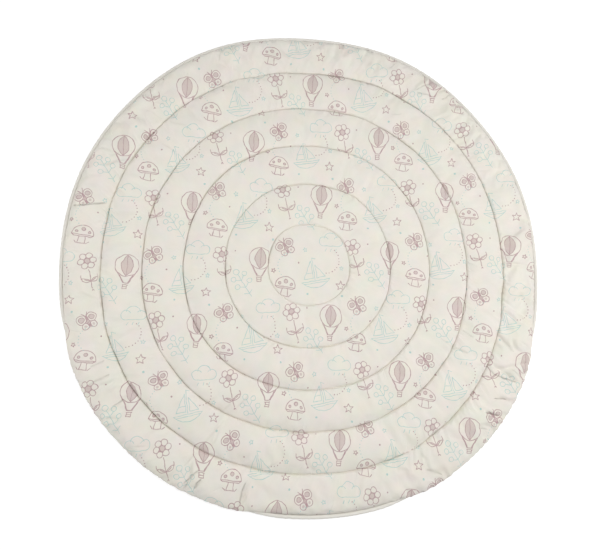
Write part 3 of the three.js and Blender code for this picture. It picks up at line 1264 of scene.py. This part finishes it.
clothFinish = {
    "cream": (0.802, 0.753, 0.686, 1),
    "creamShade": (0.752, 0.730, 0.652, 1),
    "tintSpread": 0.075,
    # painted shade: its colour in the stitch lines and folds, and its share in the folds
    "paintedShadeColour": (0.33, 0.29, 0.24, 1),
    "foldShade": 0.24,
    "foldDepth": 0.0012,
    "puckerDepth": 0.0009,
    "roughness": 0.92,
    "sheen": 0.12,
    "patchScale": 22.0,
    "patchFrom": 0.3,
    "patchSteep": 2.5,
    "tintScale": 31.0,
    "wearScale": 420.0,
    "threadPitch": 0.0011,
    "threadDepth": 0.0003,
    "inkLeast": 0.52,
    "inkWear": 0.42,
}

# Painted shade in the stitch lines and on the piping's inner side: shares of the painted shade colour,
# with places in metres and widths in millimetres
seamPaintedShade = {
    "atMiddle": 0.12,
    "outwards": 0.32,
    "innerFadeRadius": 0.10,
    "innerFadeSteep": 12.0,
    "width": 1.4,
    "farWidth": 0.4,
    "pipingWidth": 4.5,
    "pipingShare": 0.5,
}

# Sides of the mat where the cloth bulges over the stitch line, or where the painted shade in it is
# stronger or weaker, after how the light falls
seamShadeSides = {
    "hidden": {"towards": (0.26, -0.97), "from": 0.6, "steep": 3.3, "change": -0.8},
    "far": {"towards": (0.5, 0.87), "from": 0.30, "steep": 8.0, "change": 3.5},
    "left": {"towards": (-1.35, 0.675), "from": 0.5, "steep": 1.0, "change": -0.5},
    "right": {"towards": (0.9, 0.42), "from": 0.5, "steep": 2.0, "change": 0.8},
}


foldForm = {
    "bendScale": 0.05,
    "bend": 5.0,               # millimetres that a fold strays from a straight line
    "edgePower": 0.5,
}

# Sharp folds in the top cloth, bumped and with painted shade along them, in millimetres: both ends, half
# width, and depth, below 0 for a ridge
foldColumns = ("ends", "width", "depth")
foldLines = [dict(zip(foldColumns, row)) for row in (
    ((-353, -266, -376, -281), 4, 1.0),
    ((-387, -302, -363, -301), 4, 0.5),
    ((-336, -353, -310, -352), 3, 0.5),
    ((-239, -423, -211, -398), 4, 1.6),
    ((-220, -432, -205, -413), 4, 1.6),
    ((-238, -391, -215, -367), 4, 0.5),
    ((-134, -460, -122, -424), 4, 1.6),
    ((-206, -355, -172, -316), 6, 0.5),
    ((-144, -288, -119, -261), 4, 0.5),
    ((-168, -288, -151, -276), 4, 0.5),
    ((-419, -205, -394, -194), 5, 1.0),
    ((-421, -240, -382, -220), 5, 1.0),
    ((-82, -400, -61, -385), 4, 0.5),
    ((392, -140, 422, -176), 7, 1.0),
    ((367, -206, 380, -223), 5, 1.0),
    ((380, -223, 424, -238), 4, 1.6),
    ((376, -269, 403, -273), 4, 1.6),
    ((356, -296, 383, -304), 5, 1.6),
    ((344, -328, 361, -332), 4, 1.0),
    ((317, -134, 338, -147), 4, 1.0),
    ((298, -168, 326, -179), 4, 0.5),
    ((332, -206, 360, -209), 4, -0.6),
    ((214, -315, 247, -326), 6, -0.6),
    ((232, -406, 262, -416), 7, 1.0),
    ((271, -149, 298, -173), 5, 0.5),
    ((428, -191, 453, -189), 4, 0.5),
    ((416, -213, 437, -229), 4, 1.0),
    ((-468, 109, -403, 116), 4, 1.6),
    ((-327, 331, -297, 329), 4, 0.5),
    ((-335, 312, -302, 296), 6, -0.6),
    ((-289, 291, -252, 282), 5, 0.5),
    ((-413, 190, -365, 209), 5, 0.5),
    ((-300, 243, -273, 226), 5, 0.5),
    ((-401, 211, -379, 222), 4, 0.5),
    ((-318, 87, -276, 94), 4, 0.5),
    ((231, 383, 269, 402), 4, 1.0),
    ((235, 378, 268, 370), 4, 1.0),
    ((290, 365, 314, 380), 4, 1.0),
    ((175, 324, 200, 329), 4, 0.5),
    ((322, 346, 337, 331), 5, 0.5),
)]


def foldDepth(tree):
    x, y = (objectPlace(tree) * 1000.0).parts()
    place = x.flat(y)
    place = place + place.stray("2D", foldForm["bendScale"], 2.0) * foldForm["bend"]
    # The distances to both ends of a fold add up to its length along it, and to more beside it
    depth = 0.0
    for level in sorted({fold["depth"] for fold in foldLines}):
        nearest = None
        for fold in foldLines:
            if fold["depth"] != level:
                continue
            x0, y0, x1, y1 = fold["ends"]
            length = math.hypot(x1 - x0, y1 - y0)
            steep = length / (2 * fold["width"] ** 2)
            both = distanceTo(place, (x0, y0)) + distanceTo(place, (x1, y1))
            beside = both.calc("MULTIPLY_ADD", steep, -length * steep)
            nearest = beside if nearest is None else nearest.least(beside)
        share = (1.0 - nearest.most(0.0) ** foldForm["edgePower"]).most(0.0)
        depth = share * share * level + depth
    return depth


puckerForm = {
    "around": 30.0,            # how close the creases lie around the mat, and outwards
    "outwards": 0.022,
    "slant": 0.0011,
    "sharpness": 9.0,
    "patchScale": 0.017,
    "patchFrom": 0.44,
    "patchSteep": 6.0,
    "fade": 0.055,             # per millimetre from the seam
    "clear": 0.5,
    "least": 0.3,
    "growth": 0.0016,          # they are deeper further out
}


def puckerBump(tree, cloth):
    # Fine creases that run out from the seams and the edge, in patches
    x, y = cloth.parts()
    reach = cloth.length()
    fromSeam = pointLayer(tree, "fromSeam") * 1000.0
    slanted = y.calc("ARCTAN2", x) + reach * puckerForm["slant"]
    around = addNode(tree, "ShaderNodeCombineXYZ", None, {
        0: slanted.calc("COSINE") * puckerForm["around"],
        1: slanted.calc("SINE") * puckerForm["around"],
        2: reach * puckerForm["outwards"],
    })
    creases = around.noise("3D", 1.0, 1.5, Roughness=0.5, Distortion=0.3)
    sharp = 1.0 - (abs(creases - 0.5) * puckerForm["sharpness"]).least(1.0)
    patches = cloth.noise("3D", puckerForm["patchScale"], 2.0)
    where = ((patches - puckerForm["patchFrom"]) * puckerForm["patchSteep"]).clamped()
    near = math.e ** (fromSeam * -puckerForm["fade"])
    clear = (fromSeam * puckerForm["clear"]).clamped()
    height = sharp * where * near * clear * (reach * puckerForm["growth"] + puckerForm["least"])
    return addNode(tree, "ShaderNodeBump", None, {
        "Height": -height, "Strength": 1.0, "Distance": clothFinish["puckerDepth"],
    })


def threadBump(tree, place, strength, distance, under=None):
    # Uneven warp and weft threads, as two sets of long fine noise
    height = None
    for scale in ((1, 0.12, 1), (0.12, 1, 1)):
        stretched = place.calc("MULTIPLY", tuple(part / clothFinish["threadPitch"] for part in scale))
        threads = stretched.noise("3D", 1.0, 2.0, Roughness=0.6)
        height = threads if height is None else height + threads
    return addNode(tree, "ShaderNodeBump", None, {
        "Height": height, "Strength": strength, "Distance": distance, "Normal": under,
    })


def sideShare(side, place, reach=1.0):
    # 0 to 1 over the part of the mat that lies towards a side
    return ((dotWith(place, side["towards"]) / reach - side["from"]) * side["steep"]).clamped()


def seamShade(tree, place):
    # Painted shade: the cloth's colour darkened in and beside each stitch line, more on some sides of the
    # mat
    fromSeam = pointLayer(tree, "fromSeam") * 1000.0
    reach = place.length()
    hidden = sideShare(seamShadeSides["hidden"], place, reach)
    left = sideShare(seamShadeSides["left"], place, reach)
    right = sideShare(seamShadeSides["right"], place, reach)
    far = sideShare(seamShadeSides["far"], place)
    seamShadeShare = seamPaintedShade["atMiddle"] + seamPaintedShade["outwards"] * reach
    seamShadeShare = seamShadeShare * ((reach - seamPaintedShade["innerFadeRadius"]) * seamPaintedShade["innerFadeSteep"]).clamped()
    groove = (1.0 - fromSeam / (seamPaintedShade["width"] + seamPaintedShade["farWidth"] * far)).most(0.0) * seamShadeShare
    groove = groove * (1.0 + seamShadeSides["hidden"]["change"] * hidden)
    changes = 1.0 + seamShadeSides["far"]["change"] * far
    changes = changes + seamShadeSides["right"]["change"] * right + seamShadeSides["left"]["change"] * left
    return groove * changes


def coverFinish():
    material, tree, shader = newFinish("printedCotton", {
        "Roughness": clothFinish["roughness"],
        "Sheen Weight": clothFinish["sheen"],
        "Sheen Roughness": 0.6,
        "Specular IOR Level": 0.25,
    })
    place = pointLayer(tree, "clothPlace", "Vector")
    printedSide = pointLayer(tree, "printedSide")
    turned = place.turned(printRepeat["turn"])
    patchy = place.noise("3D", clothFinish["patchScale"], 4.0, Roughness=0.6)
    patchy = ((patchy - clothFinish["patchFrom"]) * clothFinish["patchSteep"]).clamped()
    colour = mixColours(patchy, clothFinish["cream"], clothFinish["creamShade"])
    colour = colour + place.stray("3D", clothFinish["tintScale"], 2.0) * clothFinish["tintSpread"]
    wear = place.noise("3D", clothFinish["wearScale"], 2.0, Roughness=0.6)
    coverage = clothFinish["inkLeast"] + clothFinish["inkWear"] * wear
    for ink, share in inkShares(turned * 1000.0).items():
        colour = mixColours(share * coverage * printedSide, colour, inkColours[ink])
    folds = foldDepth(tree)
    # Painted shade in the stitch lines and in the sharp folds, mixed into the cloth's colour
    shade = seamShade(tree, place).most((folds * clothFinish["foldShade"]).clamped()) * printedSide
    colour = mixColours(shade, colour, clothFinish["paintedShadeColour"])
    tree.links.new(colour.socket, shader.inputs["Base Color"])
    folded = addNode(tree, "ShaderNodeBump", None, {
        "Height": -folds, "Strength": 1.0, "Distance": clothFinish["foldDepth"],
        "Normal": puckerBump(tree, place * 1000.0),
    })
    bump = threadBump(tree, turned, 0.35, clothFinish["threadDepth"], folded)
    tree.links.new(bump.socket, shader.inputs["Normal"])
    print("cover finish", len(tree.nodes), "nodes")
    return material


pipingLook = {
    "cream": (0.79, 0.768, 0.712, 1),
    "shade": (0.75, 0.725, 0.665, 1),
    "patchScale": 60.0,
    "roughness": 0.9,
    "sheen": 0.12,
}


def pipingFinish():
    material, tree, shader = newFinish("pipingCotton", {
        "Roughness": pipingLook["roughness"],
        "Sheen Weight": pipingLook["sheen"],
        "Sheen Roughness": 0.6,
        "Specular IOR Level": 0.25,
    })
    place = objectPlace(tree)
    patchy = place.noise("3D", pipingLook["patchScale"], 3.0, Roughness=0.55)
    colour = mixColours(patchy, pipingLook["cream"], pipingLook["shade"])
    # Painted shade on the piping's inner side, where it meets the cover
    fromSeam = pointLayer(tree, "fromSeam") * 1000.0
    shade = (1.0 - fromSeam / seamPaintedShade["pipingWidth"]).most(0.0) * seamPaintedShade["pipingShare"]
    colour = mixColours(shade, colour, clothFinish["paintedShadeColour"])
    tree.links.new(colour.socket, shader.inputs["Base Color"])
    bump = threadBump(tree, place, 0.3, clothFinish["threadDepth"])
    tree.links.new(bump.socket, shader.inputs["Normal"])
    return material


threadLook = {
    # The thread's own tone, darkened further as painted shade of the stitch lines
    "pale": (0.62, 0.58, 0.51, 1),
    "dark": (0.50, 0.46, 0.40, 1),
    "patchScale": 900.0,
    "roughness": 0.7,
    "sheen": 0.2,
    "innerFadeRadius": 0.16,       # the thread of the inner ring is nearly as pale as the cloth
    "innerFadeSteep": 14.0,
    "innerFadeShare": 0.75,
}


def threadFinish():
    material, tree, shader = newFinish("sewingThread", {
        "Roughness": threadLook["roughness"],
        "Sheen Weight": threadLook["sheen"],
        "Specular IOR Level": 0.3,
    })
    place = objectPlace(tree)
    patchy = place.noise("3D", threadLook["patchScale"], 1.0)
    colour = mixColours(patchy, threadLook["pale"], threadLook["dark"])
    # Paler towards the middle, where the stitch lines take less painted shade
    innerFade = ((threadLook["innerFadeRadius"] - place.length()) * threadLook["innerFadeSteep"]).clamped()
    colour = mixColours(innerFade * threadLook["innerFadeShare"], colour, clothFinish["cream"])
    tree.links.new(colour.socket, shader.inputs["Base Color"])
    return material


cover.data.materials.append(coverFinish())
pipingPiece.data.materials.append(pipingFinish())
threadPiece.data.materials.append(threadFinish())


# Floor and light

studio = {
    "floorSize": 8.0,
    "floorBelow": 0.0004,
    "floorColour": (0.58, 0.58, 0.58, 1),
    "floorGlow": 0.56,
    "skyColour": (1.0, 1.0, 1.0, 1),
    "skyStrength": 0.32,
}

# Soft boxes, all turned to the middle of the floor: place, size and power
softBoxes = (
    {"name": "overheadLight", "place": (0.08, 0.06, 1.5), "size": 1.0, "power": 7.4},
    {"name": "rightLight", "place": (1.3, -0.05, 1.15), "size": 0.9, "power": 11.6},
    {"name": "leftLight", "place": (-1.3, -0.05, 1.15), "size": 0.9, "power": 8.2},
)


def addFloor():
    half = studio["floorSize"] / 2
    corners = [(-half, -half), (half, -half), (half, half), (-half, half)]
    mesh = bpy.data.meshes.new("paleFloor")
    mesh.from_pydata([(x, y, -studio["floorBelow"]) for x, y in corners], [], [(0, 1, 2, 3)])
    floor = bpy.data.objects.new("paleFloor", mesh)
    bpy.context.scene.collection.objects.link(floor)
    material, tree, shader = newFinish("palePaper", {
        "Base Color": studio["floorColour"],
        "Roughness": 1.0,
        "Specular IOR Level": 0.0,
        "Emission Color": (1, 1, 1, 1),
        "Emission Strength": studio["floorGlow"],
    })
    mesh.materials.append(material)


def addLights():
    world = bpy.data.worlds.new("studioSky")
    world.use_nodes = True
    sky = world.node_tree.nodes["Background"]
    sky.inputs["Color"].default_value = studio["skyColour"]
    sky.inputs["Strength"].default_value = studio["skyStrength"]
    bpy.context.scene.world = world
    for box in softBoxes:
        lightData = bpy.data.lights.new(box["name"], "AREA")
        lightData.shape = "DISK"
        lightData.size = box["size"]
        lightData.energy = box["power"]
        light = bpy.data.objects.new(box["name"], lightData)
        light.location = box["place"]
        light.rotation_euler = (-Vector(box["place"])).to_track_quat("-Z", "Y").to_euler()
        bpy.context.scene.collection.objects.link(light)


addFloor()
addLights()
bpy.context.scene.view_settings.view_transform = "Standard"
print("floor and lights")
